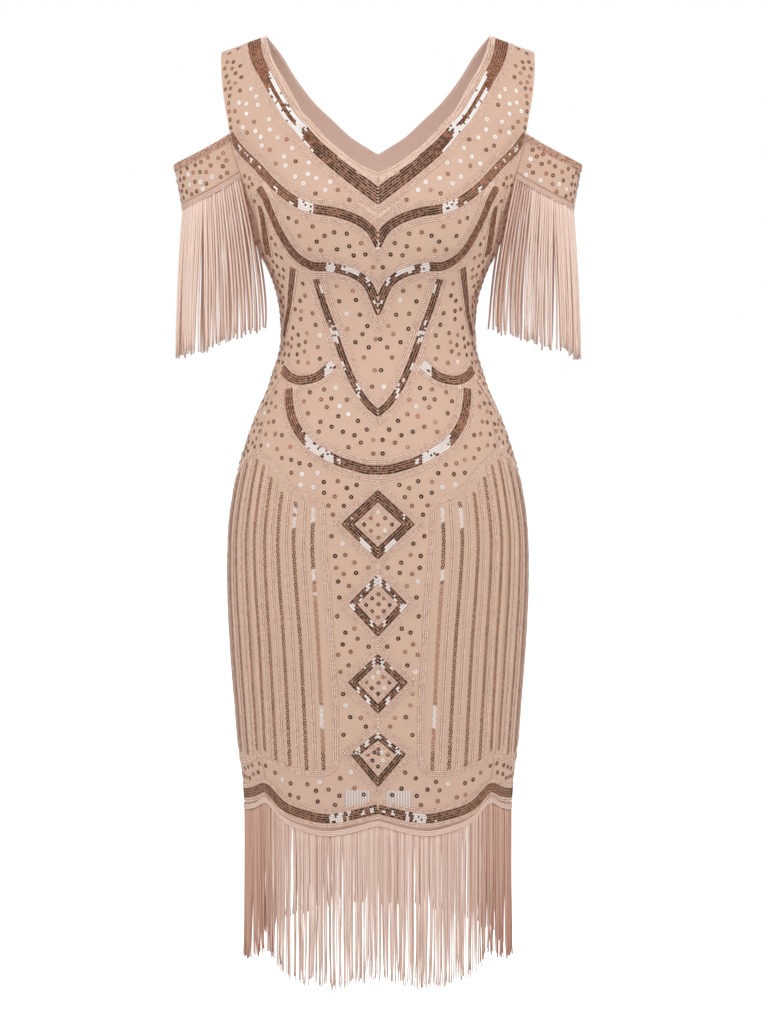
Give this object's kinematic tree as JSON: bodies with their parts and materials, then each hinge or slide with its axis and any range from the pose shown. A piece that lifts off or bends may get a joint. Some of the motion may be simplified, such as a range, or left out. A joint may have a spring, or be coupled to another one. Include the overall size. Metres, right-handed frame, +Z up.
{
  "type": "flapper dress",
  "caption": "Knee-length sheath dress with V neck front and back, fringed cold-shoulder sleeve bands and a long fringe under a scalloped hem.",
  "frame": {"origin": "midway between the two shoulder seams and level with their middles, where the wearer's shoulders hold the dress", "axes": "+Z up, -Y out of the front, +X towards the wearer's left sleeve"},
  "size_m": [0.467, 0.2288, 1.0638],
  "materials": {
    "beaded_mesh": "blush-beige net on a matt lining, crossed by fine woven rows",
    "lining_satin": "plain greyish-pink lining with a soft sheen",
    "fringe_yarn": "pale blush viscose yarn with a satin sheen",
    "sequins": "rose-gold cupped sequins, mirror bright",
    "seed_beads": "pale beige glass-like seed beads"
  },
  "bodies": {
    "root": {"front": "beaded_mesh", "back": "beaded_mesh", "back_lining": "lining_satin", "sleeve_left": "beaded_mesh", "sleeve_right": "beaded_mesh", "sleeve_fringe_left": "fringe_yarn", "sleeve_fringe_right": "fringe_yarn", "hem_fringe": "fringe_yarn"}
  },
  "joints": []
}
